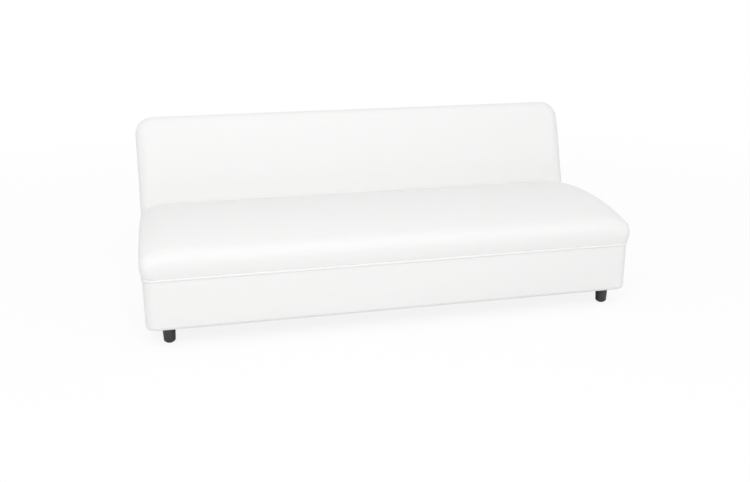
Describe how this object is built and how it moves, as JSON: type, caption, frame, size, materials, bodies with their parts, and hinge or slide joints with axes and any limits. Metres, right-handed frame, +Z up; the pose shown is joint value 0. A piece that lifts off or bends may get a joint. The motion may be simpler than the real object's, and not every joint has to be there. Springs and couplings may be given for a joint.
{
  "type": "armless sofa",
  "caption": "Armless upholstered sofa with a long crowned seat, a thin raked back, a piped seam over a plain base and short round feet.",
  "frame": {"origin": "on the floor, under the middle of the whole sofa's length and depth", "axes": "+X along the seat, to the right for someone facing the sofa; +Y from the seat's front towards the back; +Z up"},
  "size_m": [1.9, 0.8522, 0.7249],
  "materials": {
    "leatherette": "satin",
    "piping": "satin",
    "foam": "matte",
    "wadding": "matte",
    "webbing": "matte",
    "deck_cloth": "matte",
    "dust_cloth": "matte",
    "timber": "sawn",
    "hardboard": "matte",
    "steel": "zinc plated",
    "foot_plastic": "satin",
    "glide_plastic": "matte"
  },
  "bodies": {
    "root": {"back_cover": "leatherette", "back_deck_cloth": "deck_cloth", "back_foam": "foam", "back_lower_rail_left": "timber", "back_lower_rail_middle": "timber", "back_lower_rail_right": "timber", "back_post_end_left": "timber", "back_post_end_right": "timber", "back_post_inner_left": "timber", "back_post_inner_right": "timber", "back_top_rail": "timber", "back_wadding": "wadding", "back_webbing_long": "webbing", "back_webbing_upright": "webbing", "backboard": "hardboard", "base_cover": "leatherette", "base_end_rail_left": "timber", "base_end_rail_right": "timber", "base_front_rail": "timber", "base_padding": "wadding", "base_rear_rail": "timber", "corner_post_front_left": "timber", "corner_post_front_right": "timber", "corner_post_rear_left": "timber", "corner_post_rear_right": "timber", "cross_rail_left": "timber", "cross_rail_right": "timber", "dust_cover": "dust_cloth", "foot_block_front_left": "timber", "foot_block_front_right": "timber", "foot_block_rear_left": "timber", "foot_block_rear_right": "timber", "foot_front_left": "foot_plastic", "foot_front_right": "foot_plastic", "foot_glides": "glide_plastic", "foot_rear_left": "foot_plastic", "foot_rear_right": "foot_plastic", "foot_studs": "steel", "foot_tee_nuts": "steel", "frame_dowels": "timber", "post_bolts": "steel", "post_nuts": "steel", "post_washers": "steel", "rear_panel": "leatherette", "rear_wadding": "wadding", "seat_cover": "leatherette", "seat_deck_cloth": "deck_cloth", "seat_foam": "foam", "seat_piping": "piping", "seat_rear_rail": "timber", "seat_wadding": "wadding", "seat_webbing_cross": "webbing", "seat_webbing_long": "webbing"}
  },
  "joints": []
}
